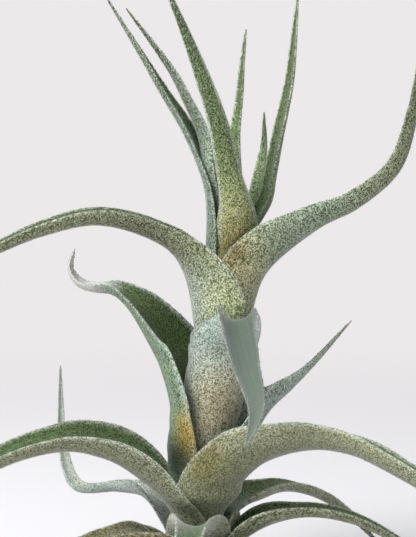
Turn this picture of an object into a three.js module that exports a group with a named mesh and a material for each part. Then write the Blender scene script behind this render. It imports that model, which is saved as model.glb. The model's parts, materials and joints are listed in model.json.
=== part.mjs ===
// Albida air plant: a leaning stem clothed in channelled leaves. Each leaf is one closed body,
// a sheath that wraps the stem and a blade that tapers to a point. The drooping tips of the
// low leaves touch the surface round the stem's flat foot, and the plant stands on them.
// Millimetres, +Z up, front towards -Y.

import * as THREE from "three";

// Stem: height and sideways lean of points on its centre line, then its height and radii
const LEAN = [[-20, 0], [0, 0], [25, 0], [42, 1.2], [60, 4.6], [75, 6.8], [90, 7.6], [101, 9.4],
  [112, 11.2], [130, 11.6], [200, 11.6]];
const STEM_TOP = 112;
const STEM_RADIUS = 4.6;
const STEM_TIP_RADIUS = 1;
const TAPER_START = 45;
const STEM_STEPS = 14;
const STEM_SIDES = 14;

// Leaf walls: the gap between nested sheaths, and the thickness at a margin, at the midrib
// of the free blade and at the midrib near the tip
const GAP = 0.42;
const EDGE = 0.62;
const RIB = 1.5;
const TIP_RIB = 0.8;

// Blade: the length over which it leaves the sheath's curve, the length over which it turns
// away from the stem, the power of its taper, and the half width left at its blunt tip
const SPREAD = 36;
const TURN = 16;
const TAPER = 0.8;
const TIP_WIDTH = 0.6;
const LEAST_RADIUS = 0.9;

// Heights over which a sheath starts below its base and dies out above its top
const SWELL = [-8, -1];
const FADE = [4, 18];

// Faces of a leaf: across its width, up its sheath and along its blade, closer at the foot
const ACROSS = 8;
const RING = 2 * (ACROSS + 1);
const SHEATH_STEPS = 4;
const BLADE_STEPS = 13;
const FOOT_BIAS = 1.15;
const CURVE_PARTS = 600;

// Colours
const BARK = 0x8a7f5f;
const CROWN_GREEN = 0x8c9c74;
const SAGE = 0x9aa48a;
const SILVER_BLUE = 0xa3aea6;
const DRY = 0xa08f6c;
const BARK_ROUGHNESS = 0.9;
const LEAF_ROUGHNESS = 0.85;

const UP = new THREE.Vector3(0, 0, 1);

// Leaves from the youngest to the oldest. Azimuth 0 is right, 90 back, 180 left, 270 front.
// base and top bound the sheath on the stem, wrap is its half angle at those two heights,
// thick its wall, wide the half width of the blade along its curve, fold the half angle of
// the channel near the foot and near the tip, roll the turn of the channel about the blade,
// spread the leaf's own value of SPREAD, and route the points that the midrib passes.
const LOW = { wrap: [100, 62], thick: 1.2, wide: 8, fold: [72, 76], spread: 22 };
const UNROLLED = [0, 0];
const LEAVES = [
  {
    name: "leaf_young", az: 342, base: 103, top: 112, wrap: [100, 60], thick: 0.7,
    wide: 6.3, fold: [92, 65], roll: [-5, -1], spread: 20, color: CROWN_GREEN,
    route: [[17.6, -3.5, 121.6], [19.9, -2.8, 134.8], [19.2, -2.4, 146.1]],
  },
  {
    name: "leaf_back_upright", az: 82, base: 98, top: 112, wrap: [110, 70], thick: 0.7,
    wide: 2.7, fold: [75, 60], color: CROWN_GREEN,
    route: [[10.5, 6, 125], [10.6, 8, 138], [12, 10, 150], [13, 11, 162], [14, 12, 172]],
  },
  {
    name: "leaf_left_rear", az: 158, base: 93, top: 110, wrap: [100, 58], thick: 0.7,
    wide: 5.8, fold: [66, 72], roll: [55, 42], spread: 39, color: SAGE,
    route: [[4.2, 2.4, 118.7], [1, 0, 129.6], [-0.5, 0.9, 139.3], [-5, -0.2, 149.5],
      [-8.9, 0, 157.4], [-22, 0, 176.7]],
  },
  {
    name: "leaf_right_upright", az: 25, base: 89, top: 110, wrap: [110, 73], thick: 0.75,
    wide: 5.5, fold: [75, 65], roll: [-11, 21], spread: 15, color: CROWN_GREEN,
    route: [[21.4, 4, 119.2], [22.9, 4.4, 127.3], [24.7, 5, 137.8], [27.9, 5, 155.4],
      [28.7, 5, 165.2], [29.6, 5, 181.4]],
  },
  {
    name: "leaf_front_upright", az: 278, base: 84, top: 106, wrap: [110, 73], thick: 0.9,
    wide: 6.1, fold: [75, 75], roll: [-4, -16], spread: 22, color: SAGE,
    route: [[11.2, -9.7, 115.9], [8.7, -9, 127.3], [5.4, -9, 142.1], [-1.8, -9, 162.4],
      [-10.7, -9, 183.9]],
  },
  {
    name: "leaf_left_upright", az: 165, base: 80, top: 104, wrap: [110, 64], thick: 1,
    wide: 7.7, fold: [67, 72], roll: [-25, 20], spread: 33, color: SAGE,
    route: [[2, 3.1, 121.4], [-1, 3.3, 131.6], [-6.1, 2.2, 142], [-11.6, 1.1, 151.1], [-18.5, 0, 163.3],
      [-29.3, 0, 182.2]],
  },
  {
    name: "leaf_right_arch", az: 340, base: 66, top: 94, wrap: [115, 106], thick: 2,
    wide: 11, fold: [88, 80], spread: 38, color: SAGE,
    route: [[20.5, -4, 99.5], [35.5, -9, 112], [46, -12, 117.5], [58, -14, 128.5],
      [63, -15, 145.5], [65, -15, 164.5], [66, -14, 179]],
  },
  {
    name: "leaf_left_arch", az: 200, base: 58, top: 90, wrap: [115, 104], thick: 0.9,
    wide: 10.5, fold: [100, 83], roll: [-12, -13], spread: 23, color: SAGE,
    route: [[-5, -4, 99], [-10.5, -6, 106], [-29, -9, 112.5], [-45.5, -12, 109.5],
      [-59.5, -14, 104], [-73.5, -16, 98.5], [-95, -18, 87.5]],
  },
  {
    name: "leaf_back_arch", az: 88, base: 49, top: 80, wrap: [70, 60], thick: 0.7,
    wide: 8, fold: [85, 75], color: SAGE,
    route: [[7, 15, 90], [7, 28, 94], [8, 42, 89], [8, 56, 76], [8, 66, 58]],
  },
  {
    name: "leaf_front_arch", az: 286, base: 42, top: 76, wrap: [125, 102], thick: 1.3,
    wide: 9.7, fold: [92, 80], roll: [-32, -2], spread: 12, color: SILVER_BLUE,
    route: [[10.5, -16, 82.5], [10, -22, 84.5], [11, -30, 80], [13, -40, 72.5],
      [15.5, -55, 64], [12, -70, 57.5]],
  },
  {
    name: "leaf_left_back", az: 155, base: 34, top: 57, wrap: [125, 82], thick: 4.2,
    wide: 13.8, fold: [83, 61], roll: [-34, 8], spread: 42, color: SILVER_BLUE,
    route: [[-10, 7, 67], [-12.5, 9, 73], [-20.5, 12, 86], [-27, 16, 90.5],
      [-33, 18, 91], [-38.5, 20, 92.8], [-41.8, 21, 98], [-39.8, 22, 104.8]],
  },
  {
    name: "leaf_right_back", az: 15, base: 29, top: 44, wrap: [110, 76], thick: 1.1,
    wide: 7.3, fold: [69, 65], roll: [-6, -16], color: SAGE,
    route: [[20.5, 5, 55], [28, 9, 61.5], [36.5, 14, 69.5], [47.5, 18, 82]],
  },
  {
    name: "leaf_right_low", az: 320, base: 24, top: 35, wrap: [115, 90], thick: 1.2,
    wide: 13, fold: [86, 71], roll: [-12, -20], spread: 26, color: SAGE,
    route: [[17, -12, 42.5], [29.5, -22, 48.5], [41.5, -34, 49.5], [52, -44, 46],
      [64, -52, 39.5], [79.5, -60, 26.5], [92.5, -66, 14], [97, -69, 0.5]],
  },
  {
    name: "leaf_left_low", az: 186, base: 20, top: 31, wrap: [115, 71], thick: 1.2,
    wide: 13, fold: [86, 74], roll: [-5, -6], spread: 39, color: SAGE,
    route: [[-24, -3, 40.5], [-30.5, -4, 43.5], [-40, -6, 45.5], [-58.5, -8, 41],
      [-77.5, -10, 29], [-93, -12, 11.5], [-97, -13, 0.5]],
  },
  {
    name: "leaf_low_right_rear", az: 42, base: 16, top: 25, color: SAGE, ...LOW,
    route: [[16, 14, 26], [26, 23, 27], [37, 33, 23], [48, 43, 15], [56, 50, 7], [62, 55, 0.5]],
  },
  {
    name: "leaf_low_left_rear", az: 130, base: 13, top: 21, wrap: [100, 61], thick: 1.2,
    wide: 6.9, fold: [92, 99], roll: [2, -2], spread: 27, color: SAGE,
    route: [[-14.2, 16, 26], [-26, 30, 25.4], [-42.1, 45, 23.1], [-47.7, 55, 34.1],
      [-48.7, 60, 50], [-48.6, 61, 62.8]],
  },
  {
    name: "leaf_low_front", az: 266, base: 11, top: 18, color: SAGE, ...LOW,
    route: [[-1, -20, 24], [-2, -32, 27], [-3, -45, 25], [-4, -58, 17], [-4, -67, 7],
      [-3, -72, 0.5]],
  },
  {
    name: "leaf_low_right", az: 352, base: 9, top: 16, color: SAGE, ...LOW,
    route: [[20, -3, 22], [32, -4, 25], [46, -5, 23], [62, -5, 15], [75, -4, 6], [85, -2, 0.5]],
  },
  {
    name: "leaf_low_left_front", az: 216, base: 7, top: 13, color: DRY, ...LOW,
    route: [[-16, -12, 18], [-26, -20, 21], [-37, -29, 18], [-49, -38, 10], [-60, -46, 0.5]],
  },
  {
    name: "leaf_low_rear", az: 78, base: 5, top: 11, color: DRY, ...LOW,
    route: [[4, 20, 16], [6, 32, 18], [8, 46, 15], [9, 59, 8], [8, 71, 0.5]],
  },
  {
    name: "leaf_low_right_front", az: 304, base: 3, top: 9, color: DRY, ...LOW,
    route: [[12, -17, 14], [19, -27, 15], [27, -38, 12], [35, -48, 5], [40, -56, 0.5]],
  },
  {
    name: "leaf_low_left", az: 164, base: 1, top: 7, color: DRY, ...LOW,
    route: [[-20, 6, 12], [-31, 9, 13], [-43, 12, 10], [-56, 16, 4], [-67, 20, 0.5]],
  },
];

function smooth(a, b, x) {
  const t = Math.min(1, Math.max(0, (x - a) / (b - a)));
  return t * t * (3 - 2 * t);
}

function mix(a, b, t) {
  return a + (b - a) * t;
}

function rad(degrees) {
  return (degrees * Math.PI) / 180;
}

// Centre line of the stem and the sheaths round it
function axis(z) {
  let k = 1;
  while (k < LEAN.length - 3 && z > LEAN[k + 1][0]) {
    k += 1;
  }
  const [p, a, b, q] = LEAN.slice(k - 1, k + 3);
  const span = b[0] - a[0];
  const t = Math.min(1, Math.max(0, (z - a[0]) / span));
  const m = ((b[1] - p[1]) / (b[0] - p[0])) * span;
  const n = ((q[1] - a[1]) / (q[0] - a[0])) * span;
  const rise = a[1] + t * (m + t * (3 * (b[1] - a[1]) - 2 * m - n + t * (m + n - 2 * (b[1] - a[1]))));
  return new THREE.Vector3(rise, 0, z);
}

function core(z) {
  return mix(STEM_RADIUS, STEM_TIP_RADIUS, smooth(TAPER_START, STEM_TOP, z));
}

// Radius of everything that grows inside leaf number i at height z
function bundle(i, z) {
  let r = core(z);
  for (let j = 0; j < i; j++) {
    const leaf = LEAVES[j];
    const grown = smooth(leaf.base + SWELL[0], leaf.base + SWELL[1], z);
    const left = 1 - smooth(leaf.top + FADE[0], leaf.top + FADE[1], z);
    r += (leaf.thick + GAP) * grown * left;
  }
  return r + GAP;
}

function sheathRadius(i, z) {
  return bundle(i, z) + LEAVES[i].thick;
}

function outward(leaf) {
  return new THREE.Vector3(Math.cos(rad(leaf.az)), Math.sin(rad(leaf.az)), 0);
}

// Point of the sheath's midrib at height z
function keel(i, z) {
  return axis(z).addScaledVector(outward(LEAVES[i]), sheathRadius(i, z));
}

// Level sections of the sheath, each an arc round the stem's centre line
function sheathSections(i) {
  const leaf = LEAVES[i];
  const list = [];
  for (let k = 0; k <= SHEATH_STEPS; k++) {
    const f = k / SHEATH_STEPS;
    const z = mix(leaf.base, leaf.top, f);
    list.push({
      point: keel(i, z),
      normal: outward(leaf),
      along: UP,
      radius: sheathRadius(i, z),
      half: rad(mix(leaf.wrap[0], leaf.wrap[1], f)),
      rib: leaf.thick,
    });
  }
  return list;
}

// Sections of the blade, which turn with its midrib and close from the sheath's arc to the
// channel of the free blade
function bladeSections(i) {
  const leaf = LEAVES[i];
  const [rollFoot, rollTip] = leaf.roll ?? UNROLLED;
  const points = [keel(i, leaf.top + SWELL[0]), keel(i, leaf.top)];
  for (const p of leaf.route) {
    points.push(new THREE.Vector3(...p));
  }
  const curve = new THREE.CatmullRomCurve3(points, false, "centripetal");
  const lengths = curve.getLengths(CURVE_PARTS);
  const total = lengths[CURVE_PARTS];
  const start = lengths[Math.round(CURVE_PARTS / (points.length - 1))];
  const run = total - start;
  const foot = sheathRadius(i, leaf.top);
  const list = [];
  let normal = outward(leaf);
  for (let k = 1; k <= BLADE_STEPS; k++) {
    const f = Math.pow(k / BLADE_STEPS, FOOT_BIAS);
    const s = f * run;
    const u = Math.min(1, (start + s) / total);
    const along = UP.clone().lerp(curve.getTangentAt(u), smooth(0, TURN, s)).normalize();
    normal = normal.clone().addScaledVector(along, -normal.dot(along)).normalize();
    const free = smooth(0, leaf.spread ?? SPREAD, s);
    const half = mix(rad(leaf.wrap[1]), rad(mix(leaf.fold[0], leaf.fold[1], f)), free);
    const width = leaf.wide * Math.pow(1 - f, TAPER) + TIP_WIDTH;
    list.push({
      point: curve.getPointAt(u),
      normal: normal.clone().applyAxisAngle(along, rad(mix(rollFoot * free, rollTip, f))),
      along: along,
      radius: Math.max(mix(foot, width / half, free), LEAST_RADIUS),
      half: half,
      rib: mix(mix(leaf.thick, RIB, free), TIP_RIB, smooth(0.4, 1, f)),
    });
  }
  return list;
}

// A point kept outside the younger leaves that stand inside leaf number i
function hug(i, p, wall) {
  const centre = axis(p.z);
  const dx = p.x - centre.x;
  const dy = p.y - centre.y;
  const d = Math.hypot(dx, dy);
  const least = bundle(i, p.z) + wall;
  if (d < least && d > 0.001) {
    p.x = centre.x + (dx * least) / d;
    p.y = centre.y + (dy * least) / d;
  }
  p.z = Math.max(p.z, 0);
  return p;
}

// A leaf's skin: rings of points, outer face then inner face, joined and closed at both ends.
// Both faces are split into triangles alike.
function leafBody(i) {
  const list = [...sheathSections(i), ...bladeSections(i)];
  const verts = [];
  for (const s of list) {
    const side = new THREE.Vector3().crossVectors(s.along, s.normal).normalize();
    const centre = s.point.clone().addScaledVector(s.normal, -s.radius);
    const outer = [];
    const inner = [];
    for (let k = 0; k <= ACROSS; k++) {
      const u = (2 * k) / ACROSS - 1;
      const phi = u * s.half;
      const wall = mix(EDGE, s.rib, 1 - u * u);
      const dir = s.normal.clone().multiplyScalar(Math.cos(phi)).addScaledVector(side, Math.sin(phi));
      outer.push(hug(i, centre.clone().addScaledVector(dir, s.radius), wall));
      inner.push(hug(i, centre.clone().addScaledVector(dir, s.radius - wall), 0));
    }
    verts.push(...outer, ...inner.reverse());
  }
  const faces = [];
  const last = list.length - 1;
  for (let r = 0; r < last; r++) {
    for (let k = 0; k < RING; k++) {
      const a = r * RING + k;
      const b = r * RING + ((k + 1) % RING);
      const c = a + RING;
      const d = b + RING;
      if (k < ACROSS + 1) {
        faces.push(a, b, d, a, d, c);
      } else {
        faces.push(a, b, c, b, d, c);
      }
    }
  }
  const e = last * RING;
  for (let k = 0; k < ACROSS; k++) {
    const m = RING - 1 - k;
    faces.push(k, m, m - 1, k, m - 1, k + 1);
    faces.push(e + k, e + m - 1, e + m, e + k, e + k + 1, e + m - 1);
  }
  return solid(verts, faces);
}

function stemBody() {
  const verts = [];
  const faces = [];
  for (let k = 0; k <= STEM_STEPS; k++) {
    const z = (STEM_TOP * k) / STEM_STEPS;
    const c = axis(z);
    for (let n = 0; n < STEM_SIDES; n++) {
      const a = (2 * Math.PI * n) / STEM_SIDES;
      verts.push(new THREE.Vector3(c.x + core(z) * Math.cos(a), core(z) * Math.sin(a), z));
    }
  }
  for (let k = 0; k < STEM_STEPS; k++) {
    for (let n = 0; n < STEM_SIDES; n++) {
      const a = k * STEM_SIDES + n;
      const b = k * STEM_SIDES + ((n + 1) % STEM_SIDES);
      faces.push(a, b, b + STEM_SIDES, a, b + STEM_SIDES, a + STEM_SIDES);
    }
  }
  const e = STEM_STEPS * STEM_SIDES;
  for (let n = 1; n < STEM_SIDES - 1; n++) {
    faces.push(0, n + 1, n);
    faces.push(e, e + n, e + n + 1);
  }
  return solid(verts, faces);
}

// Geometry of a closed skin, its faces turned to point out
function solid(verts, faces) {
  let volume = 0;
  for (let k = 0; k < faces.length; k += 3) {
    const a = verts[faces[k]];
    const b = verts[faces[k + 1]];
    const c = verts[faces[k + 2]];
    volume += a.dot(b.clone().cross(c)) / 6;
  }
  const index = [];
  for (let k = 0; k < faces.length; k += 3) {
    if (volume > 0) {
      index.push(faces[k], faces[k + 1], faces[k + 2]);
    } else {
      index.push(faces[k], faces[k + 2], faces[k + 1]);
    }
  }
  const geometry = new THREE.BufferGeometry();
  const flat = new Float32Array(verts.flatMap((v) => [v.x, v.y, v.z]));
  geometry.setAttribute("position", new THREE.BufferAttribute(flat, 3));
  geometry.setIndex(index);
  geometry.computeVertexNormals();
  return geometry;
}

function piece(name, geometry, color, roughness) {
  const material = new THREE.MeshStandardMaterial({ color: color, roughness: roughness, metalness: 0 });
  const mesh = new THREE.Mesh(geometry, material);
  mesh.name = name;
  return mesh;
}

const plant = new THREE.Group();
plant.name = "albida_air_plant";
plant.add(piece("stem", stemBody(), BARK, BARK_ROUGHNESS));
LEAVES.forEach((leaf, i) => {
  plant.add(piece(leaf.name, leafBody(i), leaf.color, LEAF_ROUGHNESS));
});

export default plant;
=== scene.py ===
"""Albida air plant: finer leaves with their scales, colours, light and camera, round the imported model."""

import json
import math
import random
from bisect import bisect_left
from collections import namedtuple
from functools import lru_cache

import bmesh
import bpy
from bpy.props import FloatProperty, FloatVectorProperty, PointerProperty
from mathutils import Matrix, Quaternion, Vector


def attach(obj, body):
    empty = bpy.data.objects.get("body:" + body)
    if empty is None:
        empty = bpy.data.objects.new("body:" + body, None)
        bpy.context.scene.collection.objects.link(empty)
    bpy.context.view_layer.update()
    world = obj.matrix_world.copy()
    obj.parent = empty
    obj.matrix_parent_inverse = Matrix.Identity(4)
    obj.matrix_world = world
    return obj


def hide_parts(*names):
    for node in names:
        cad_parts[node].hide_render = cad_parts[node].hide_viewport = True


bl_info = {
    "name": "Albida air plant",
    "version": (1, 0, 0),
    "blender": (4, 5, 0),
    "location": "3D View > Sidebar > Air Plant",
    "description": "Builds the leaves, scales and stage of a rootless air plant",
    "category": "Add Mesh",
}

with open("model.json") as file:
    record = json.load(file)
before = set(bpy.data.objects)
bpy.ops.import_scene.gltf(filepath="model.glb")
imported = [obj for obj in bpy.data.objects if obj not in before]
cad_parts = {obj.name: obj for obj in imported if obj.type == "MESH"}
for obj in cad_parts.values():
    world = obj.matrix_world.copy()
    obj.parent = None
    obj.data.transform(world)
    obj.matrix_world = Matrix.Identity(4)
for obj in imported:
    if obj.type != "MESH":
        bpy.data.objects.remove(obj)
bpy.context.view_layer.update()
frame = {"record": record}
SLOTS = {part["node"]: part["material_slot"] for part in frame["record"]["subparts"]}

MM = 0.001
MM2_TO_CM2 = 0.01
UP = Vector((0, 0, 1))

# Photograph, in pixels, and the camera that took it, in metres but for its sensor in millimetres
PHOTO_WIDTH = 416
PHOTO_HEIGHT = 537
FOCAL_PIXELS = 1400
LOOK_AT = Vector((0.0024, 0, 0.09945))
CAMERA_DISTANCE = 0.42
CAMERA_ELEVATION = math.radians(3)
SENSOR = 36
CLIP_START = 0.01

# Window light, room and floor, in metres. The floor turns into the backdrop between the two distances.
LAMP_PLACE = Vector((-0.45, -0.35, 0.75))
LAMP_SIZE = 0.5
ROOM_COLOR = (0.98, 0.99, 1)
FLOOR_SIDES = 96
FLOOR_FADE = (0.05, 0.75)

# Stem, in millimetres as the leaves are: height and sideways lean of points on its centre line
LEAN = ((-20, 0), (0, 0), (25, 0), (42, 1.2), (60, 4.6), (75, 6.8), (90, 7.6), (101, 9.4),
        (112, 11.2), (130, 11.6), (200, 11.6))
STEM_TOP = 112
STEM_RADIUS = 4.6
STEM_TIP_RADIUS = 1
TAPER_START = 45
STEM_SIDES = 32
STEM_RINGS = 40

# Leaf walls: gap between sheaths, wall at a margin, at the blade's midrib and at its tip, where along the
# blade it thins to that, the most of a section's radius that it takes, and the least such radius. The
# margins and tips are finer than those of the solids.
GAP = 0.42
EDGE = 0.4
RIB = 1.5
TIP_RIB = 0.5
RIB_FADE = (0.4, 1)
WALL_SHARE = 0.8
LEAST_RADIUS = 0.35

# Leaf shape: length in which a sheath opens into its blade, and in which the midrib turns from upright
# to its route, how the blade narrows to its tip, the tip's half width, and where a younger leaf swells
# and fades inside an older one, from the foot and the top of its sheath. Nearer to the stem's centre
# than ON_AXIS a point has no direction.
SPREAD = 36
TURN = 16
TAPER = 0.8
TIP_WIDTH = 0.3
SWELL = (-8, -1)
FADE = (4, 18)
ON_AXIS = 0.001

# Fineness of a leaf: faces across, steps up its sheath, length of a step along its blade, how much
# closer the steps are at its foot, and parts of the curve between two points of its route
ACROSS = 32
SHEATH_STEPS = 8
STATION = 1.15
FOOT_BIAS = 1.15
CURVE_PARTS = 40

# Skin of a leaf: share of a patch that tints the margin beside it, most that the tip's colour covers,
# height of the veins against the flecks, strength of that relief, and the distance that keeps the
# patterns of two leaves apart
MARGIN_SHARE = 0.7
TIP_SHARE = 0.9
VEIN_HEIGHT = 0.6
RELIEF = 0.6
STRAP_STEP = 200

# Flecks: factors for the bare leaf and for a scale, how far they gather in clumps, how fine the clumps
# are against a fleck, softness of the choice between the two, and how a scale fades from its middle
FLECK_DARK = (0.3, 0.33, 0.22)
FLECK_PALE = (1.75, 1.72, 1.84)
CLUMPS = 0.12
CLUMP_GRAIN = 0.2
FLECK_EDGE = 0.15
FLECK_FADE = (0.3, 0.8, 1, 0.3)

# Veins: factors for the dark and the pale lines, the squeeze along the leaf that draws them out, and
# how sharp they are
VEIN_DARK = (0.7, 0.76, 0.68)
VEIN_PALE = (1.22, 1.2, 1.26)
VEIN_SQUEEZE = 0.03
VEIN_SPAN = (0.35, 0.65)

# Finishes by the shader's sockets, then the display colours of loose scales and bark, and how many
# clouds of the two colours there are to a metre
LEAF_FINISH = {"Roughness": 0.8, "Specular IOR Level": 0.3, "Sheen Roughness": 0.3,
               "Sheen Tint": (0.98, 0.95, 1)}
SCALE_FINISH = {"Roughness": 0.85, "Sheen Weight": 0.2}
BARK_FINISH = {"Roughness": 0.9}
FLOOR_FINISH = {"Roughness": 0.9, "Specular IOR Level": 0.1}
SCALE_SHADES = ((136, 144, 120), (190, 197, 182))
SCALE_GRAIN = 900
SCALE_SPAN = (0.3, 0.7)
BARK_SHADES = ((86, 70, 48), (150, 130, 96))
BARK_GRAIN = 500
BARK_DETAIL = 4

# Loose scales, as ranges to draw from: length as a share of the set one, half width as a share of the
# length, shift across the blade in millimetres, and how far one points out, along and off the leaf on a
# margin, and across and off it on a face. SCALE_FLATNESS is thickness against width. FRINGE_INNER_SHARE
# of a fringe is on the inner face, and a plain blade lacks PLAIN_LOSS of its fringe.
SCALE_LENGTHS = (0.6, 1.3)
SCALE_WIDTHS = (0.18, 0.3)
SCALE_FLATNESS = 0.3
SCALE_SHIFT = (-0.4, 0.4)
FRINGE_OUT = (0.4, 1.2)
FRINGE_ALONG = (0.2, 1)
FRINGE_LIFT = (-0.4, 0.4)
FACE_ACROSS = (-0.5, 0.5)
FACE_LIFT = (0.1, 0.6)
FRINGE_INNER_SHARE = 0.5
PLAIN_LOSS = 0.7
FIRST_SEED = 100

Leaf = namedtuple("Leaf", "name az base top wrap thick wide fold route roll spread",
                  defaults=((0, 0), SPREAD))
# A section is an arc across a leaf, with its midrib's point, the way its outer face looks there, the way
# the leaf runs, its radius and half angle, its wall at the midrib, and its distance from the leaf's foot
Section = namedtuple("Section", "point normal along radius half rib distance")
Tone = namedtuple("Tone", "outer inner margin tip patches cover plain bloom rim tip_span contrast plain_tip",
                  defaults=((), 0.5, 0, 0.9, (0.86, 1, 0.6), (0.45, 1), 1, 0))


def low(name, az, base, top, *route):
    """A leaf of the lowest whorl, which all share one build."""
    return Leaf(name, az, base, top, (100, 62), 1.2, 8, (72, 76), route, spread=22)


# Leaves from the youngest to the oldest, with the values of the solids. Azimuth 0 is right, 90 back,
# 180 left, 270 front. base and top bound the sheath on the stem, wrap is its half angle at those two
# heights, thick its wall, wide the half width of the blade, fold the half angle of its channel near
# the foot and near the tip, and route the points that the midrib passes. roll is the turn of the blade
# round its midrib near the foot and at the tip, and spread the length in which the sheath opens.
LEAVES = (
    Leaf("leaf_young", 342, 103, 112, (100, 60), 0.7, 6.3, (92, 65),
         ((17.6, -3.5, 121.6), (19.9, -2.8, 134.8), (19.2, -2.4, 146.1)), roll=(-5, -1), spread=20),
    Leaf("leaf_back_upright", 82, 98, 112, (110, 70), 0.7, 2.7, (75, 60),
         ((10.5, 6, 125), (10.6, 8, 138), (12, 10, 150), (13, 11, 162), (14, 12, 172))),
    Leaf("leaf_left_rear", 158, 93, 110, (100, 58), 0.7, 5.8, (66, 72),
         ((4.2, 2.4, 118.7), (1, 0, 129.6), (-0.5, 0.9, 139.3), (-5, -0.2, 149.5), (-8.9, 0, 157.4),
          (-22, 0, 176.7)), roll=(55, 42), spread=39),
    Leaf("leaf_right_upright", 25, 89, 110, (110, 73), 0.75, 5.5, (75, 65),
         ((21.4, 4, 119.2), (22.9, 4.4, 127.3), (24.7, 5, 137.8), (27.9, 5, 155.4),
          (28.7, 5, 165.2), (29.6, 5, 181.4)), roll=(-11, 21), spread=15),
    Leaf("leaf_front_upright", 278, 84, 106, (110, 73), 0.9, 6.1, (75, 75),
         ((11.2, -9.7, 115.9), (8.7, -9, 127.3), (5.4, -9, 142.1), (-1.8, -9, 162.4),
          (-10.7, -9, 183.9)), roll=(-4, -16), spread=22),
    Leaf("leaf_left_upright", 165, 80, 104, (110, 64), 1, 7.7, (67, 72),
         ((2, 3.1, 121.4), (-1, 3.3, 131.6), (-6.1, 2.2, 142), (-11.6, 1.1, 151.1),
          (-18.5, 0, 163.3), (-29.3, 0, 182.2)), roll=(-25, 20), spread=33),
    Leaf("leaf_right_arch", 340, 66, 94, (115, 106), 2, 11, (88, 80),
         ((20.5, -4, 99.5), (35.5, -9, 112), (46, -12, 117.5), (58, -14, 128.5), (63, -15, 145.5),
          (65, -15, 164.5), (66, -14, 179)), spread=38),
    Leaf("leaf_left_arch", 200, 58, 90, (115, 104), 0.9, 10.5, (100, 83),
         ((-5, -4, 99), (-10.5, -6, 106), (-29, -9, 112.5), (-45.5, -12, 109.5), (-59.5, -14, 104),
          (-73.5, -16, 98.5), (-95, -18, 87.5)), roll=(-12, -13), spread=23),
    Leaf("leaf_back_arch", 88, 49, 80, (70, 60), 0.7, 8, (85, 75),
         ((7, 15, 90), (7, 28, 94), (8, 42, 89), (8, 56, 76), (8, 66, 58))),
    Leaf("leaf_front_arch", 286, 42, 76, (125, 102), 1.3, 9.7, (92, 80),
         ((10.5, -16, 82.5), (10, -22, 84.5), (11, -30, 80), (13, -40, 72.5), (15.5, -55, 64),
          (12, -70, 57.5)), roll=(-32, -2), spread=12),
    Leaf("leaf_left_back", 155, 34, 57, (125, 82), 4.2, 13.8, (83, 61),
         ((-10, 7, 67), (-12.5, 9, 73), (-20.5, 12, 86), (-27, 16, 90.5), (-33, 18, 91),
          (-38.5, 20, 92.8), (-41.8, 21, 98), (-39.8, 22, 104.8)), roll=(-34, 8), spread=42),
    Leaf("leaf_right_back", 15, 29, 44, (110, 76), 1.1, 7.3, (69, 65),
         ((20.5, 5, 55), (28, 9, 61.5), (36.5, 14, 69.5), (47.5, 18, 82)), roll=(-6, -16)),
    Leaf("leaf_right_low", 320, 24, 35, (115, 90), 1.2, 13, (86, 71),
         ((17, -12, 42.5), (29.5, -22, 48.5), (41.5, -34, 49.5), (52, -44, 46), (64, -52, 39.5),
          (79.5, -60, 26.5), (92.5, -66, 14), (97, -69, 0.5)), roll=(-12, -20), spread=26),
    Leaf("leaf_left_low", 186, 20, 31, (115, 71), 1.2, 13, (86, 74),
         ((-24, -3, 40.5), (-30.5, -4, 43.5), (-40, -6, 45.5), (-58.5, -8, 41), (-77.5, -10, 29),
          (-93, -12, 11.5), (-97, -13, 0.5)), roll=(-5, -6), spread=39),
    low("leaf_low_right_rear", 42, 16, 25,
        (16, 14, 26), (26, 23, 27), (37, 33, 23), (48, 43, 15), (56, 50, 7), (62, 55, 0.5)),
    Leaf("leaf_low_left_rear", 130, 13, 21, (100, 61), 1.2, 6.9, (92, 99),
         ((-14.2, 16, 26), (-26, 30, 25.4), (-42.1, 45, 23.1), (-47.7, 55, 34.1), (-48.7, 60, 50),
          (-48.6, 61, 62.8)), roll=(2, -2), spread=27),
    low("leaf_low_front", 266, 11, 18,
        (-1, -20, 24), (-2, -32, 27), (-3, -45, 25), (-4, -58, 17), (-4, -67, 7), (-3, -72, 0.5)),
    low("leaf_low_right", 352, 9, 16,
        (20, -3, 22), (32, -4, 25), (46, -5, 23), (62, -5, 15), (75, -4, 6), (85, -2, 0.5)),
    low("leaf_low_left_front", 216, 7, 13,
        (-16, -12, 18), (-26, -20, 21), (-37, -29, 18), (-49, -38, 10), (-60, -46, 0.5)),
    low("leaf_low_rear", 78, 5, 11,
        (4, 20, 16), (6, 32, 18), (8, 46, 15), (9, 59, 8), (8, 71, 0.5)),
    low("leaf_low_right_front", 304, 3, 9,
        (12, -17, 14), (19, -27, 15), (27, -38, 12), (35, -48, 5), (40, -56, 0.5)),
    low("leaf_low_left", 164, 1, 7,
        (-20, 6, 12), (-31, 9, 13), (-43, 12, 10), (-56, 16, 4), (-67, 20, 0.5)),
)
NUMBER = {leaf.name: i for i, leaf in enumerate(LEAVES)}
ARCHING_START = NUMBER["leaf_right_arch"]
LOW_START = NUMBER["leaf_right_low"]
CROWN_LEAVES = [leaf.name for leaf in LEAVES[:ARCHING_START]]
ARCHING_LEAVES = [leaf.name for leaf in LEAVES[ARCHING_START:LOW_START]]
LOW_LEAVES = [leaf.name for leaf in LEAVES[LOW_START:]]

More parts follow.
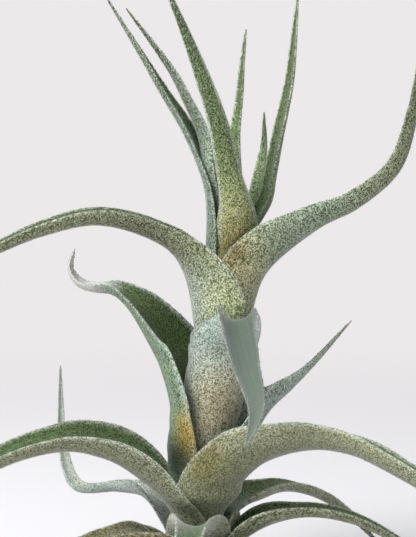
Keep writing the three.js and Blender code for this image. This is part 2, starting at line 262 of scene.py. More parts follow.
# Colours of a leaf as display values: its outer face, its channel inside, its margin and its tip. Each
# patch is a centre and a radius in millimetres and a colour that the outer face and the margin take
# softly there; most are the leaf's own tints, and a few are painted light or painted shade, as marked
# beside them. cover is how much the pale scales hide, contrast how strongly they show, plain and
# plain_tip the share of them that the channel and the tip lack, and bloom the pale sheen. rim is where
# the margin's colour starts and ends, from the midrib to the edge, and how much it covers, and
# tip_span where the tip's colour starts and ends along the leaf.
GREEN = Tone((112, 134, 88), (98, 118, 76), (176, 188, 172), (92, 104, 72))
SAGE = Tone((144, 149, 120), (86, 104, 68), (186, 190, 176), (106, 110, 86))
SILVER = Tone((148, 162, 152), (68, 86, 50), (176, 186, 178), (138, 142, 126), cover=0.62)
OLD = Tone((150, 145, 112), (122, 120, 86), (180, 174, 150), (142, 118, 82))
TONES = {
    "leaf_young": GREEN._replace(outer=(116, 140, 94), patches=(
        # painted light: the right side of the leaf made paler, as where light falls on it
        ((21.5, -4.5, 131), 10, (168, 192, 146)),
    )),
    "leaf_back_upright": GREEN._replace(inner=(138, 160, 112)),
    "leaf_right_upright": GREEN._replace(inner=(84, 102, 62)),
    "leaf_left_rear": GREEN._replace(
        outer=(132, 146, 130), margin=(172, 188, 174), tip=(92, 92, 72), rim=(0.7, 0.9, 0.5)),
    "leaf_left_upright": GREEN._replace(outer=(108, 127, 108), inner=(52, 84, 26), tip=(112, 126, 106)),
    "leaf_front_upright": GREEN._replace(
        outer=(96, 114, 74), margin=(156, 170, 144), tip=(72, 84, 58), rim=(0.62, 0.7, 0.85), patches=(
            ((11, -12, 112), 28, (146, 149, 104)),
            ((11, -12, 106), 12, (150, 134, 84)),
            # partly the brown foot, partly painted shade in the crevice between the leaf bases
            ((10.5, -8, 104), 8, (92, 80, 44)),
        )),
    "leaf_right_arch": SAGE._replace(
        tip=(72, 82, 58), tip_span=(0.38, 1), rim=(0.86, 1, 0.3), patches=(
            ((32, -6, 118), 30, (136, 152, 134)),
            # partly the tan foot, partly painted light that lifts the shade at the foot
            ((12, -16, 98), 16, (188, 182, 142)),
            # partly brown, partly painted shade in the crevice between the leaf bases
            ((9, -12, 105), 9, (104, 90, 48)),
        )),
    "leaf_left_arch": SAGE._replace(tip=(98, 102, 72), patches=(
        ((-7, -4, 90), 19, (160, 172, 160)),
        # partly the yellow foot, partly painted light that lifts the shadow of leaf_front_arch there
        ((11, -13, 88), 15, (206, 213, 168)),
        ((-18, -6, 112), 24, (104, 106, 82)),
    )),
    "leaf_back_arch": SAGE,
    "leaf_front_arch": SILVER._replace(
        inner=(86, 99, 87), margin=(112, 120, 114), tip=(107, 118, 106), plain=1, patches=(
            ((6, -14, 57), 26, (158, 148, 116)),
            ((-2, -14, 50), 9, (168, 138, 84)),
            ((14, -12, 83), 10, (216, 216, 212)),
        )),
    "leaf_left_back": SILVER._replace(
        outer=(112, 132, 106), tip=(206, 204, 202), tip_span=(0.68, 0.8), plain_tip=0.9, bloom=0.2, patches=(
            ((-2, -12, 51), 13, (158, 132, 50)),
            # painted shadow at the foot of the leaf
            ((-9, -9, 43), 14, (10, 18, 0)),
        )),
    "leaf_right_back": SILVER._replace(inner=(122, 136, 118), plain_tip=0.5),
    "leaf_right_low": SAGE._replace(outer=(138, 141, 113), contrast=0.75, patches=(
        ((1, -14, 44), 12, (128, 124, 80)),
    )),
    "leaf_left_low": SAGE._replace(outer=(136, 139, 112), contrast=0.85),
    "leaf_low_right_rear": SAGE,
    "leaf_low_left_rear": SILVER._replace(inner=(164, 170, 160), tip=(178, 184, 176), plain_tip=0.7),
    "leaf_low_front": SAGE,
    "leaf_low_right": SAGE,
    "leaf_low_left_front": OLD,
    "leaf_low_rear": OLD,
    "leaf_low_right_front": OLD,
    "leaf_low_left": OLD,
}


def mix(a, b, t):
    """The value at share t of the way from a to b."""
    return a + (b - a) * t


def smooth(a, b, x):
    """A soft rise from 0 where x is a to 1 where x is b."""
    t = min(1, max(0, (x - a) / (b - a)))
    return t * t * (3 - 2 * t)


def linear(color):
    """An sRGB colour from 0 to 255 as the linear colour that a shader takes."""
    return tuple((c / 255 / 12.92) if c < 10.3 else ((c / 255 + 0.055) / 1.055) ** 2.4 for c in color)


def axis(z):
    """Centre of the stem at height z, on a smooth curve through its points."""
    k = 1
    while k < len(LEAN) - 3 and z > LEAN[k + 1][0]:
        k += 1
    (pz, px), (az, ax), (bz, bx), (qz, qx) = LEAN[k - 1:k + 3]
    span = bz - az
    t = min(1, max(0, (z - az) / span))
    m = (bx - px) / (bz - pz) * span
    n = (qx - ax) / (qz - az) * span
    rise = ax + t * (m + t * (3 * (bx - ax) - 2 * m - n + t * (m + n - 2 * (bx - ax))))
    return Vector((rise, 0, z))


def core(z):
    """Radius of the stem at height z."""
    return mix(STEM_RADIUS, STEM_TIP_RADIUS, smooth(TAPER_START, STEM_TOP, z))


def bundle(i, z):
    """Radius of everything that grows inside leaf number i at height z."""
    radius = core(z) + GAP
    for leaf in LEAVES[:i]:
        if leaf.base + SWELL[0] < z < leaf.top + FADE[1]:
            grown = smooth(leaf.base + SWELL[0], leaf.base + SWELL[1], z)
            left = 1 - smooth(leaf.top + FADE[0], leaf.top + FADE[1], z)
            radius += (leaf.thick + GAP) * grown * left
    return radius


def sheath_radius(i, z):
    """Radius of the outer face of leaf number i at height z."""
    return bundle(i, z) + LEAVES[i].thick


def outward(leaf):
    """The level direction in which a leaf leaves the stem."""
    turn = math.radians(leaf.az)
    return Vector((math.cos(turn), math.sin(turn), 0))


def keel(i, z):
    """Point of the sheath's midrib at height z."""
    return axis(z) + outward(LEAVES[i]) * sheath_radius(i, z)


def spline(points):
    """Points close together on the centripetal Catmull-Rom curve through points."""
    ends = [points[0] * 2 - points[1], *points, points[-1] * 2 - points[-2]]
    line = []
    for p in range(len(points) - 1):
        a, b, c, d = ends[p:p + 4]
        t0 = 0
        t1 = t0 + (b - a).length ** 0.5
        t2 = t1 + (c - b).length ** 0.5
        t3 = t2 + (d - c).length ** 0.5
        for k in range(CURVE_PARTS):
            t = mix(t1, t2, k / CURVE_PARTS)
            ab = a.lerp(b, (t - t0) / (t1 - t0))
            bc = b.lerp(c, (t - t1) / (t2 - t1))
            cd = c.lerp(d, (t - t2) / (t3 - t2))
            abc = ab.lerp(bc, (t - t0) / (t2 - t0))
            bcd = bc.lerp(cd, (t - t1) / (t3 - t1))
            line.append(abc.lerp(bcd, (t - t1) / (t2 - t1)))
    line.append(points[-1].copy())
    return line


def lengths_of(line):
    """Length of the line up to each of its points."""
    lengths = [0.0]
    for a, b in zip(line, line[1:]):
        lengths.append(lengths[-1] + (b - a).length)
    return lengths


def on_line(line, lengths, s):
    """Point of the line at length s, and the way it runs there."""
    k = bisect_left(lengths, s, 1, len(line) - 1)
    t = (s - lengths[k - 1]) / (lengths[k] - lengths[k - 1])
    ahead = min(k + 1, len(line) - 1)
    behind = max(k - 2, 0)
    return line[k - 1].lerp(line[k], min(1, max(0, t))), (line[ahead] - line[behind]).normalized()


def sections_of(i):
    """Sections of leaf number i: level arcs round the stem, then arcs that turn with the midrib."""
    leaf = LEAVES[i]
    out = outward(leaf)
    wrap = [math.radians(a) for a in leaf.wrap]
    fold = [math.radians(a) for a in leaf.fold]
    roll = [math.radians(a) for a in leaf.roll]
    rise = leaf.top - leaf.base
    found = []
    for k in range(SHEATH_STEPS + 1):
        share = k / SHEATH_STEPS
        z = mix(leaf.base, leaf.top, share)
        found.append(Section(keel(i, z), out, UP, sheath_radius(i, z), mix(*wrap, share), leaf.thick,
                             rise * share))
    line = spline([keel(i, leaf.top + SWELL[0]), keel(i, leaf.top), *map(Vector, leaf.route)])
    lengths = lengths_of(line)
    start = lengths[CURVE_PARTS]
    run = lengths[-1] - start
    foot = sheath_radius(i, leaf.top)
    normal = out.copy()
    steps = math.ceil(run / STATION)
    for k in range(1, steps + 1):
        share = (k / steps) ** FOOT_BIAS
        gone = share * run
        point, tangent = on_line(line, lengths, start + gone)
        along = UP.lerp(tangent, smooth(0, TURN, gone)).normalized()
        normal = (normal - along * normal.dot(along)).normalized()
        free = smooth(0, leaf.spread, gone)
        half = mix(wrap[1], mix(*fold, share), free)
        width = leaf.wide * (1 - share) ** TAPER + TIP_WIDTH
        radius = max(mix(foot, width / half, free), LEAST_RADIUS)
        rib = mix(mix(leaf.thick, RIB, free), TIP_RIB, smooth(*RIB_FADE, share))
        turn = Quaternion(along, mix(roll[0] * free, roll[1], share))
        found.append(Section(point, turn @ normal, along, radius, half, rib, rise + gone))
    return found


def hug(i, point, wall):
    """The point kept outside the younger leaves that stand inside leaf number i, and above the floor."""
    centre = axis(point.z)
    away = Vector((point.x - centre.x, point.y - centre.y, 0))
    least = bundle(i, point.z) + wall
    if ON_AXIS < away.length < least:
        point = centre + away * (least / away.length)
    point.z = max(point.z, 0)
    return point


def skin_point(i, section, u, inner):
    """Point of leaf number i at u across a section, on its outer or inner face."""
    side = section.along.cross(section.normal).normalized()
    centre = section.point - section.normal * section.radius
    phi = u * section.half
    wall = min(mix(EDGE, section.rib, 1 - u * u), section.radius * WALL_SHARE)
    away = section.normal * math.cos(phi) + side * math.sin(phi)
    if inner:
        return hug(i, centre + away * (section.radius - wall), 0)
    return hug(i, centre + away * section.radius, wall)


@lru_cache(maxsize=None)
def skins_of(i):
    """Sections of leaf number i, and for its outer and its inner face a row of points to each."""
    sections = sections_of(i)
    skins = [[[skin_point(i, section, 2 * column / ACROSS - 1, inner) for column in range(ACROSS + 1)]
              for section in sections] for inner in (False, True)]
    return sections, skins


def leaf_mesh(i):
    """A leaf: a flat strap of faces rolled round the sections and given its wall."""
    sections, skins = skins_of(i)
    last = len(sections) - 1
    bm = bmesh.new()
    # The materials read where a vertex lies on its leaf, and strap is its place on the leaf laid flat
    across = bm.verts.layers.float.new("across")
    along = bm.verts.layers.float.new("along")
    inner = bm.verts.layers.float.new("inner")
    strap = bm.verts.layers.float_vector.new("strap")
    bmesh.ops.create_grid(bm, x_segments=ACROSS, y_segments=last, size=1)
    for v in bm.verts:
        v[across] = v.co.x
        v[along] = (v.co.y + 1) / 2
    walled = bmesh.ops.extrude_face_region(bm, geom=bm.faces[:], use_keep_orig=True)
    for v in walled["geom"]:
        if isinstance(v, bmesh.types.BMVert):
            v[inner] = 1
    for v in bm.verts:
        row = round(v[along] * last)
        column = round((v[across] + 1) / 2 * ACROSS)
        section = sections[row]
        v.co = skins[round(v[inner])][row][column] * MM
        sideways = v[across] * section.half * section.radius
        v[strap] = Vector((sideways, section.distance + i * STRAP_STEP, 0)) * MM
        v[along] = section.distance / sections[-1].distance
    bmesh.ops.recalc_face_normals(bm, faces=bm.faces)
    return bm


def finished(bm, name, material):
    """The bmesh as a smooth piece of the scene."""
    for face in bm.faces:
        face.smooth = True
    mesh = bpy.data.meshes.new(name)
    bm.to_mesh(mesh)
    bm.free()
    mesh.materials.append(material)
    piece = bpy.data.objects.new(name, mesh)
    bpy.context.scene.collection.objects.link(piece)
    return piece


def build_leaves(names):
    """Builds those leaves, each in place of its solid."""
    for name in names:
        i = NUMBER[name]
        piece = finished(leaf_mesh(i), name + "_fine", leaf_material(name))
        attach(piece, "root")
        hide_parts(name)


def stem_mesh():
    """The stem: its round foot drawn up in rings along its lean, and closed at the top."""
    bm = bmesh.new()
    bmesh.ops.create_circle(bm, cap_ends=True, segments=STEM_SIDES, radius=core(0) * MM)
    ring = bm.edges[:]
    below = axis(0)
    for k in range(1, STEM_RINGS + 1):
        z = STEM_TOP * k / STEM_RINGS
        centre = axis(z)
        grown = bmesh.ops.extrude_edge_only(bm, edges=ring)["geom"]
        ring = [g for g in grown if isinstance(g, bmesh.types.BMEdge)]
        for v in grown:
            if isinstance(v, bmesh.types.BMVert):
                away = (v.co - below * MM).normalized()
                v.co = (centre + away * core(z)) * MM
        below = centre
    bmesh.ops.contextual_create(bm, geom=ring)
    bmesh.ops.recalc_face_normals(bm, faces=bm.faces)
    return bm


def plug(tree, value, socket):
    """Links a socket to an output, or sets the socket's own value."""
    if isinstance(value, bpy.types.NodeSocket):
        tree.links.new(value, socket)
    elif socket.type == "RGBA":
        socket.default_value = (*value, 1)
    else:
        socket.default_value = value


def add_node(tree, kind, **values):
    """A node of that kind, with its settings, and with its inputs linked or set by name."""
    node = tree.nodes.new(kind)
    for key, value in values.items():
        if hasattr(node, key):
            setattr(node, key, value)
        else:
            plug(tree, value, node.inputs[key])
    return node


def group(name, inputs, outputs):
    """A new shader node group with those sockets, its input node and its output node."""
    tree = bpy.data.node_groups.new(name, "ShaderNodeTree")
    for label, kind, value in inputs:
        socket = tree.interface.new_socket(label, in_out="INPUT", socket_type=kind)
        socket.default_value = value
    for label, kind in outputs:
        tree.interface.new_socket(label, in_out="OUTPUT", socket_type=kind)
    return tree, tree.nodes.new("NodeGroupInput"), tree.nodes.new("NodeGroupOutput")


def math_node(tree, operation, *values):
    """The result of an operation on outputs and numbers."""
    node = add_node(tree, "ShaderNodeMath", operation=operation)
    for value, socket in zip(values, node.inputs):
        plug(tree, value, socket)
    return node.outputs[0]


def vector_node(tree, operation, *values, **named):
    """A vector node with its first inputs in order, and others by name."""
    node = add_node(tree, "ShaderNodeVectorMath", operation=operation, **named)
    for value, socket in zip(values, node.inputs):
        plug(tree, value, socket)
    return node


def range_node(tree, value, low_in, high_in, low_out=0, high_out=1):
    """A value brought softly from one range to another."""
    node = add_node(tree, "ShaderNodeMapRange", interpolation_type="SMOOTHSTEP")
    for entry, socket in zip((value, low_in, high_in, low_out, high_out), node.inputs):
        plug(tree, entry, socket)
    return node.outputs[0]


def mix_color(tree, factor, a, b, blend="MIX"):
    """Two colours mixed or multiplied by a factor."""
    node = add_node(tree, "ShaderNodeMix", data_type="RGBA", blend_type=blend)
    sockets = {socket.identifier: socket for socket in (*node.inputs, *node.outputs)}
    plug(tree, factor, sockets["Factor_Float"])
    plug(tree, a, sockets["A_Color"])
    plug(tree, b, sockets["B_Color"])
    return sockets["Result_Color"]


def two_tones(tree, inside, mask, dark, pale):
    """The group's colour darkened or made paler by a mask, as far as its strength says."""
    color = inside.outputs["Colour"]
    toned = mix_color(tree, mask, mix_color(tree, 1, color, dark, "MULTIPLY"),
                      mix_color(tree, 1, color, pale, "MULTIPLY"))
    return mix_color(tree, inside.outputs["Strength"], color, toned)


def patch_group():
    """Colour that changes softly to another round a point."""
    tree = bpy.data.node_groups.get("colour_patch")
    if tree:
        return tree
    tree, inside, outside = group("colour_patch", (
        ("Colour", "NodeSocketColor", (0.5, 0.5, 0.5, 1)),
        ("Patch", "NodeSocketColor", (0.5, 0.5, 0.5, 1)),
        ("Centre", "NodeSocketVector", (0, 0, 0)),
        ("Radius", "NodeSocketFloat", 0.01),
    ), (("Colour", "NodeSocketColor"),))
    place = add_node(tree, "ShaderNodeTexCoord")
    away = vector_node(tree, "DISTANCE", place.outputs["Object"], inside.outputs["Centre"])
    mask = range_node(tree, away.outputs["Value"], 0, inside.outputs["Radius"], 1, 0)
    color = mix_color(tree, mask, inside.outputs["Colour"], inside.outputs["Patch"])
    tree.links.new(color, outside.inputs["Colour"])
    return tree


def flecks_group():
    """Pale scales on a darker leaf, as a colour and a height. Cover is the share that they hide."""
    tree = bpy.data.node_groups.get("leaf_flecks")
    if tree:
        return tree
    tree, inside, outside = group("leaf_flecks", (
        ("Colour", "NodeSocketColor", (0.5, 0.5, 0.5, 1)),
        ("Size", "NodeSocketFloat", 0.0006),
        ("Stretch", "NodeSocketFloat", 0.8),
        ("Cover", "NodeSocketFloat", 0.5),
        ("Strength", "NodeSocketFloat", 1),
    ), (("Colour", "NodeSocketColor"), ("Height", "NodeSocketFloat")))
    strap = add_node(tree, "ShaderNodeAttribute", attribute_name="strap")
    parts = add_node(tree, "ShaderNodeSeparateXYZ", Vector=strap.outputs["Vector"])
    lengthwise = math_node(tree, "MULTIPLY", parts.outputs["Y"], inside.outputs["Stretch"])
    place = add_node(tree, "ShaderNodeCombineXYZ", X=parts.outputs["X"], Y=lengthwise, Z=parts.outputs["Z"])
    fineness = math_node(tree, "DIVIDE", 1, inside.outputs["Size"])
    grain = vector_node(tree, "SCALE", place.outputs[0], Scale=fineness).outputs[0]
    cells = add_node(tree, "ShaderNodeTexVoronoi", voronoi_dimensions="2D", Vector=grain, Scale=1)
    drawn = add_node(tree, "ShaderNodeSeparateColor", Color=cells.outputs["Color"])
    clumps = add_node(tree, "ShaderNodeTexNoise", Vector=grain, Scale=CLUMP_GRAIN, Detail=1)
    gathered = math_node(tree, "MULTIPLY", clumps.outputs["Fac"], CLUMPS)
    chance = math_node(tree, "ADD", drawn.outputs["Red"], inside.outputs["Cover"])
    chance = math_node(tree, "ADD", chance, gathered)
    present = range_node(tree, chance, 1 - FLECK_EDGE + CLUMPS / 2, 1 + FLECK_EDGE + CLUMPS / 2)
    dot = range_node(tree, cells.outputs["Distance"], *FLECK_FADE)
    mask = math_node(tree, "MULTIPLY", present, dot)
    tree.links.new(two_tones(tree, inside, mask, FLECK_DARK, FLECK_PALE), outside.inputs["Colour"])
    tree.links.new(mask, outside.inputs["Height"])
    return tree


def veins_group():
    """Fine pale and dark lines along a leaf, as a colour and a height."""
    tree = bpy.data.node_groups.get("leaf_veins")
    if tree:
        return tree
    tree, inside, outside = group("leaf_veins", (
        ("Colour", "NodeSocketColor", (0.5, 0.5, 0.5, 1)),
        ("Spacing", "NodeSocketFloat", 0.0011),
        ("Strength", "NodeSocketFloat", 0.3),
    ), (("Colour", "NodeSocketColor"), ("Height", "NodeSocketFloat")))
    strap = add_node(tree, "ShaderNodeAttribute", attribute_name="strap")
    squeezed = vector_node(tree, "MULTIPLY", strap.outputs["Vector"], (1, VEIN_SQUEEZE, 1))
    fineness = math_node(tree, "DIVIDE", 1, inside.outputs["Spacing"])
    grain = vector_node(tree, "SCALE", squeezed.outputs[0], Scale=fineness).outputs[0]
    lines = add_node(tree, "ShaderNodeTexNoise", Vector=grain, Scale=1, Detail=1)
    mask = range_node(tree, lines.outputs["Fac"], *VEIN_SPAN)
    tree.links.new(two_tones(tree, inside, mask, VEIN_DARK, VEIN_PALE), outside.inputs["Colour"])
    tree.links.new(mask, outside.inputs["Height"])
    return tree


def use_group(tree, made, **values):
    """A group placed in a tree, with its inputs linked or set by name."""
    node = tree.nodes.new("ShaderNodeGroup")
    node.node_tree = made
    for key, value in values.items():
        plug(tree, value, node.inputs[key])
    return node


def new_material(name, finish):
    """A material with nodes, its tree, and its Principled shader with that finish."""
    material = bpy.data.materials.new(name)
    material.use_nodes = True
    tree = material.node_tree
    shader = tree.nodes["Principled BSDF"]
    for label, value in finish.items():
        plug(tree, value, shader.inputs[label])
    return material, tree, shader


def patched(tree, color, shade, centre, radius):
    """A colour with one soft patch of another shade."""
    node = use_group(tree, patch_group(), Colour=color, Patch=shade, Centre=Vector(centre) * MM,
                     Radius=radius * MM)
    return node.outputs["Colour"]


def leaf_material(name):
    """Skin of one leaf: face and channel colours, patches, tip, veins, scale flecks and pale margins."""
    tone = TONES[name]
    look = bpy.context.scene.air_plant_leaves
    material, tree, shader = new_material(name + "_skin", LEAF_FINISH)
    shader.inputs["Sheen Weight"].default_value = tone.bloom
    inner, along, across = (add_node(tree, "ShaderNodeAttribute", attribute_name=attribute).outputs["Fac"]
                            for attribute in ("inner", "along", "across"))
    color = linear(tone.outer)
    margin = linear(tone.margin)
    # Patches: the leaf's own tints, and a few of painted light and painted shade
    for centre, radius, patch in tone.patches:
        shade = linear(patch)
        tint = tuple(mix(a, b, MARGIN_SHARE) for a, b in zip(linear(tone.margin), shade))
        color = patched(tree, color, shade, centre, radius)
        margin = patched(tree, margin, tint, centre, radius)
    color = mix_color(tree, inner, color, linear(tone.inner))
    tip = range_node(tree, along, *tone.tip_span, 0, TIP_SHARE)
    color = mix_color(tree, tip, color, linear(tone.tip))
    rim_start, rim_end, rim_share = tone.rim
    rim = range_node(tree, math_node(tree, "ABSOLUTE", across), rim_start, rim_end, 0, rim_share)
    color = mix_color(tree, rim, color, margin)
    veins = use_group(tree, veins_group(), Colour=color, Spacing=look.vein_spacing,
                      Strength=look.vein_strength)
    # The flecks are missing where the channel or the tip is plain
    strength = look.fleck_strength * tone.contrast
    on_channel = math_node(tree, "MULTIPLY_ADD", inner, -tone.plain, 1)
    on_tip = math_node(tree, "MULTIPLY_ADD", tip, -tone.plain_tip * strength, strength)
    flecks = use_group(tree, flecks_group(), Colour=veins.outputs["Colour"], Size=look.fleck_size,
                       Cover=tone.cover, Strength=math_node(tree, "MULTIPLY", on_channel, on_tip))
    tree.links.new(flecks.outputs["Colour"], shader.inputs["Base Color"])
    ridges = math_node(tree, "MULTIPLY", veins.outputs["Height"], VEIN_HEIGHT)
    height = math_node(tree, "ADD", flecks.outputs["Height"], ridges)
    bump = add_node(tree, "ShaderNodeBump", Height=height, Strength=RELIEF, Distance=look.fleck_height)
    tree.links.new(bump.outputs[0], shader.inputs["Normal"])
    return material


def cloud(tree, scale, detail):
    """Soft noise fixed to the piece, with about that many clouds to a metre."""
    place = add_node(tree, "ShaderNodeTexCoord").outputs["Object"]
    return add_node(tree, "ShaderNodeTexNoise", Vector=place, Scale=scale, Detail=detail).outputs["Fac"]


def scale_material(slot):
    """Dry pale leaf scale."""
    name = slot + "_scale"
    if name in bpy.data.materials:
        return bpy.data.materials[name]
    material, tree, shader = new_material(name, SCALE_FINISH)
    mask = range_node(tree, cloud(tree, SCALE_GRAIN, 1), *SCALE_SPAN)
    tree.links.new(mix_color(tree, mask, *map(linear, SCALE_SHADES)), shader.inputs["Base Color"])
    return material


def bark_material():
    """Dry woody stem."""
    material, tree, shader = new_material("bark", BARK_FINISH)
    mask = cloud(tree, BARK_GRAIN, BARK_DETAIL)
    tree.links.new(mix_color(tree, mask, *map(linear, BARK_SHADES)), shader.inputs["Base Color"])
    return material


def scale_shape():
    """One scale: a three-sided wedge of unit size, set by its middle, that widens from its root."""
    bm = bmesh.new()
    bmesh.ops.create_cone(bm, cap_ends=True, segments=3, radius1=1, radius2=0, depth=1)
    shape = bpy.data.meshes.new("scale_shape")
    bm.to_mesh(shape)
    bm.free()
    return shape


def scale_places(i, look):
    """Where the loose scales of leaf number i lie: a fringe on its margins, more over both faces."""
    draw = random.Random(FIRST_SEED + i)
    sections, skins = skins_of(i)
    plain = TONES[LEAVES[i].name].plain
    first = SHEATH_STEPS // 2
    length_mm = sections[-1].distance
    fringe = round(2 * length_mm * MM / look.fringe_spacing * (1 - PLAIN_LOSS * plain))
    loose = round(look.scale_density * length_mm * LEAVES[i].wide * MM2_TO_CM2)
    for n in range(fringe + loose):
        on_margin = n < fringe
        inner = draw.random() < (FRINGE_INNER_SHARE if on_margin else look.inner_share * (1 - plain))
        column = draw.choice((0, ACROSS)) if on_margin else draw.randrange(1, ACROSS)
        row = draw.randrange(first, len(sections) - 2)
        skin = skins[inner]
        here = skin[row][column]
        ahead = skin[row + 1][column]
        across = (here - skin[row][ACROSS // 2]).normalized()
        beside = (skin[row][min(column + 1, ACROSS)] - skin[row][max(column - 1, 0)]).normalized()
        along = (ahead - here).normalized()
        facing = along.cross(beside).normalized()
        if inner != (facing.dot(sections[row].normal) < 0):
            facing = -facing
        root = here.lerp(ahead, draw.random()) + beside * draw.uniform(*SCALE_SHIFT) * (not on_margin)
        length = look.scale_length * draw.uniform(*SCALE_LENGTHS)
        if on_margin:
            way = across * draw.uniform(*FRINGE_OUT) + along * draw.uniform(*FRINGE_ALONG)
            way += facing * draw.uniform(*FRINGE_LIFT)
        else:
            way = along + beside * draw.uniform(*FACE_ACROSS) + facing * draw.uniform(*FACE_LIFT)
        yield root * MM, way.normalized(), facing, length, length * draw.uniform(*SCALE_WIDTHS)


def scales_mesh(i, look, shape):
    """All the loose scales of leaf number i, each a copy of the shape set on its place."""
    bm = bmesh.new()
    places = list(scale_places(i, look))
    for _ in places:
        bm.from_mesh(shape)
    bm.verts.ensure_lookup_table()
    corners = len(shape.vertices)
    for n, (root, way, facing, length, width) in enumerate(places):
        side = way.cross(facing).normalized()
        turn = Matrix((side, side.cross(way), -way)).transposed()
        size = Matrix.Diagonal((width, width * SCALE_FLATNESS, length))
        for v in bm.verts[n * corners:(n + 1) * corners]:
            v.co = root + turn @ size @ v.co
    bmesh.ops.recalc_face_normals(bm, faces=bm.faces)
    return bm


def blend_shaders(tree, factor, first, second, output):
    """Two shaders mixed by a factor, as the surface of the tree's output."""
    blend = tree.nodes.new("ShaderNodeMixShader")
    tree.links.new(factor, blend.inputs["Fac"])
    tree.links.new(first.outputs[0], blend.inputs[1])
    tree.links.new(second.outputs[0], blend.inputs[2])
    tree.links.new(blend.outputs[0], tree.nodes[output].inputs["Surface"])


def add_floor(settings):
    """A plain floor that turns into the backdrop away from the plant."""
    bm = bmesh.new()
    bmesh.ops.create_circle(bm, cap_ends=True, segments=FLOOR_SIDES, radius=settings.floor_radius)
    material, tree, shader = new_material("floor", FLOOR_FINISH)
    plug(tree, settings.floor_color, shader.inputs["Base Color"])
    place = add_node(tree, "ShaderNodeTexCoord")
    away = vector_node(tree, "LENGTH", place.outputs["Object"])
    mask = range_node(tree, away.outputs["Value"], *FLOOR_FADE)
    far = add_node(tree, "ShaderNodeEmission", Color=settings.sky_color)
    blend_shaders(tree, mask, shader, far, "Material Output")
    finished(bm, "floor", material)


def stand(scene, data, place, way):
    """A lamp or camera at its place, facing a way."""
    holder = bpy.data.objects.new(data.name, data)
    holder.location = place
    holder.rotation_mode = "QUATERNION"
    holder.rotation_quaternion = way.to_track_quat("-Z", "Y")
    scene.collection.objects.link(holder)
    return holder


def add_light(scene, settings):
    """Soft light from all round, the backdrop that the camera sees, and the window light."""
    world = bpy.data.worlds.new("soft_room")
    world.use_nodes = True
    scene.world = world
    tree = world.node_tree
    room = tree.nodes["Background"]
    plug(tree, ROOM_COLOR, room.inputs["Color"])
    plug(tree, settings.sky_strength, room.inputs["Strength"])
    seen = add_node(tree, "ShaderNodeBackground", Color=settings.sky_color)
    path = add_node(tree, "ShaderNodeLightPath")
    blend_shaders(tree, path.outputs["Is Camera Ray"], room, seen, "World Output")
    lamp = bpy.data.lights.new("key", "AREA")
    lamp.size = LAMP_SIZE
    lamp.energy = settings.key_power
    stand(scene, lamp, LAMP_PLACE, LOOK_AT - LAMP_PLACE)
    scene.view_settings.view_transform = "Standard"


def add_camera(scene):
    """The camera where the photograph was taken from."""
    camera = bpy.data.cameras.new("camera")
    camera.sensor_width = SENSOR
    camera.lens = SENSOR * FOCAL_PIXELS / max(PHOTO_WIDTH, PHOTO_HEIGHT)
    camera.clip_start = CLIP_START
    back = Vector((0, -math.cos(CAMERA_ELEVATION), math.sin(CAMERA_ELEVATION)))
    scene.camera = stand(scene, camera, LOOK_AT + back * CAMERA_DISTANCE, -back)


class LeafSettings(bpy.types.PropertyGroup):
    """Veins and scale flecks on the leaves"""

    vein_spacing: FloatProperty(name="Vein spacing", description="Width of one pale line along a leaf",
                                default=0.0011, min=0.0002, unit="LENGTH", subtype="DISTANCE")
    vein_strength: FloatProperty(name="Vein strength", description="How much the lines change the colour",
                                 default=0.25, min=0, max=1, subtype="FACTOR")
    fleck_size: FloatProperty(name="Fleck size", description="Width of a scale fleck on the leaf",
                              default=0.00023, min=0.0001, unit="LENGTH", subtype="DISTANCE")
    fleck_strength: FloatProperty(name="Fleck strength", description="Contrast of the flecks",
                                  default=1, min=0, max=1, subtype="FACTOR")
    fleck_height: FloatProperty(name="Fleck height", description="Relief of the flecks",
                                default=0.0001, min=0, unit="LENGTH", subtype="DISTANCE")


class ScaleSettings(bpy.types.PropertyGroup):
    """Loose scales on the leaves"""

    scale_length: FloatProperty(name="Scale length", description="Length of one loose scale",
                                default=0.0005, min=0.0002, unit="LENGTH", subtype="DISTANCE")
    fringe_spacing: FloatProperty(name="Fringe spacing", description="Distance between scales on a margin",
                                  default=0.0003, min=0.0001, unit="LENGTH", subtype="DISTANCE")
    scale_density: FloatProperty(name="Scale density", description="Loose scales per square centimetre",
                                 default=140, min=0)
    inner_share: FloatProperty(name="Share in the channel", description="Share of them inside the channel",
                               default=0.05, min=0, max=1, subtype="FACTOR")


class StageSettings(bpy.types.PropertyGroup):
    """Floor, backdrop and light"""

    floor_radius: FloatProperty(name="Floor radius", description="Radius of the plain floor",
                                default=6, min=1, unit="LENGTH", subtype="DISTANCE")
    floor_color: FloatVectorProperty(name="Floor colour", description="Colour of the plain floor",
                                     default=(0.68, 0.67, 0.69), min=0, max=1, subtype="COLOR")
    sky_color: FloatVectorProperty(name="Backdrop colour", description="Colour seen behind the plant",
                                   default=(0.838, 0.812, 0.822), min=0, max=1, subtype="COLOR")
    sky_strength: FloatProperty(name="Soft light", description="Light from all round", default=0.75,
                                min=0)
    key_power: FloatProperty(name="Key light", description="Power of the soft window light",
                             default=9, min=0, unit="POWER")


class AIRPLANT_OT_stem(bpy.types.Operator):
    """Builds the woody stem"""

    bl_idname = "airplant.stem"
    bl_label = "Stem"

    def execute(self, context):
        piece = finished(stem_mesh(), "stem_fine", bark_material())
        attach(piece, "root")
        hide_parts("stem")
        return {"FINISHED"}


class AIRPLANT_OT_crown(bpy.types.Operator):
    """Builds the six upright leaves of the crown"""

    bl_idname = "airplant.crown"
    bl_label = "Crown leaves"

    def execute(self, context):
        build_leaves(CROWN_LEAVES)
        return {"FINISHED"}


class AIRPLANT_OT_arching(bpy.types.Operator):
    """Builds the leaves that arch out from the middle of the stem"""

    bl_idname = "airplant.arching"
    bl_label = "Arching leaves"

    def execute(self, context):
        build_leaves(ARCHING_LEAVES)
        return {"FINISHED"}


class AIRPLANT_OT_low(bpy.types.Operator):
    """Builds the drooping leaves that the plant stands on"""

    bl_idname = "airplant.low"
    bl_label = "Low leaves"

    def execute(self, context):
        build_leaves(LOW_LEAVES)
        return {"FINISHED"}


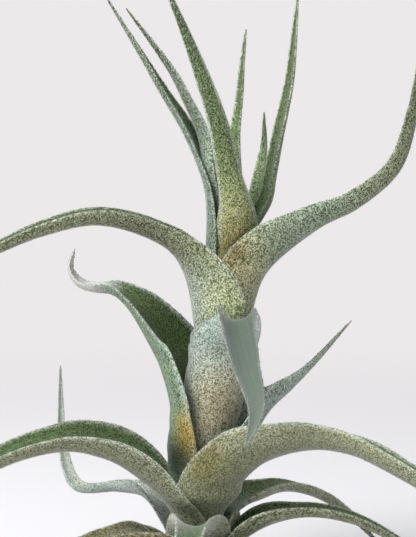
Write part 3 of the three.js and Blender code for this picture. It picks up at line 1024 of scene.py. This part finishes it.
class AIRPLANT_OT_scales(bpy.types.Operator):
    """Adds the loose pale scales on the margins and faces of every leaf"""

    bl_idname = "airplant.scales"
    bl_label = "Leaf scales"

    def execute(self, context):
        look = context.scene.air_plant_scales
        shape = scale_shape()
        for i, leaf in enumerate(LEAVES):
            material = scale_material(SLOTS[leaf.name])
            piece = finished(scales_mesh(i, look, shape), leaf.name + "_scales", material)
            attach(piece, "root")
        return {"FINISHED"}


class AIRPLANT_OT_stage(bpy.types.Operator):
    """Adds the floor, the light and the camera"""

    bl_idname = "airplant.stage"
    bl_label = "Stage"

    def execute(self, context):
        scene = context.scene
        settings = scene.air_plant_stage
        add_floor(settings)
        add_light(scene, settings)
        add_camera(scene)
        return {"FINISHED"}


class AIRPLANT_PT_panel(bpy.types.Panel):
    """Steps and settings of the air plant"""

    bl_idname = "AIRPLANT_PT_panel"
    bl_label = "Air Plant"
    bl_space_type = "VIEW_3D"
    bl_region_type = "UI"
    bl_category = "Air Plant"

    def draw(self, context):
        for step in STEPS:
            self.layout.operator(step.bl_idname)
        for name in SETTINGS:
            settings = getattr(context.scene, name)
            box = self.layout.box()
            for prop in settings.__annotations__:
                box.prop(settings, prop)


STEPS = (AIRPLANT_OT_stem, AIRPLANT_OT_crown, AIRPLANT_OT_arching, AIRPLANT_OT_low, AIRPLANT_OT_scales,
         AIRPLANT_OT_stage)
SETTINGS = {"air_plant_leaves": LeafSettings, "air_plant_scales": ScaleSettings,
            "air_plant_stage": StageSettings}


def register():
    for kind in (*SETTINGS.values(), *STEPS, AIRPLANT_PT_panel):
        bpy.utils.register_class(kind)
    for name, kind in SETTINGS.items():
        setattr(bpy.types.Scene, name, PointerProperty(type=kind))


def unregister():
    for name in SETTINGS:
        delattr(bpy.types.Scene, name)
    for kind in reversed((*SETTINGS.values(), *STEPS, AIRPLANT_PT_panel)):
        bpy.utils.unregister_class(kind)


def main():
    register()
    bpy.ops.airplant.stem()
    bpy.ops.airplant.crown()
    bpy.ops.airplant.arching()
    bpy.ops.airplant.low()
    bpy.ops.airplant.scales()
    bpy.ops.airplant.stage()


if __name__ == "__main__":
    main()
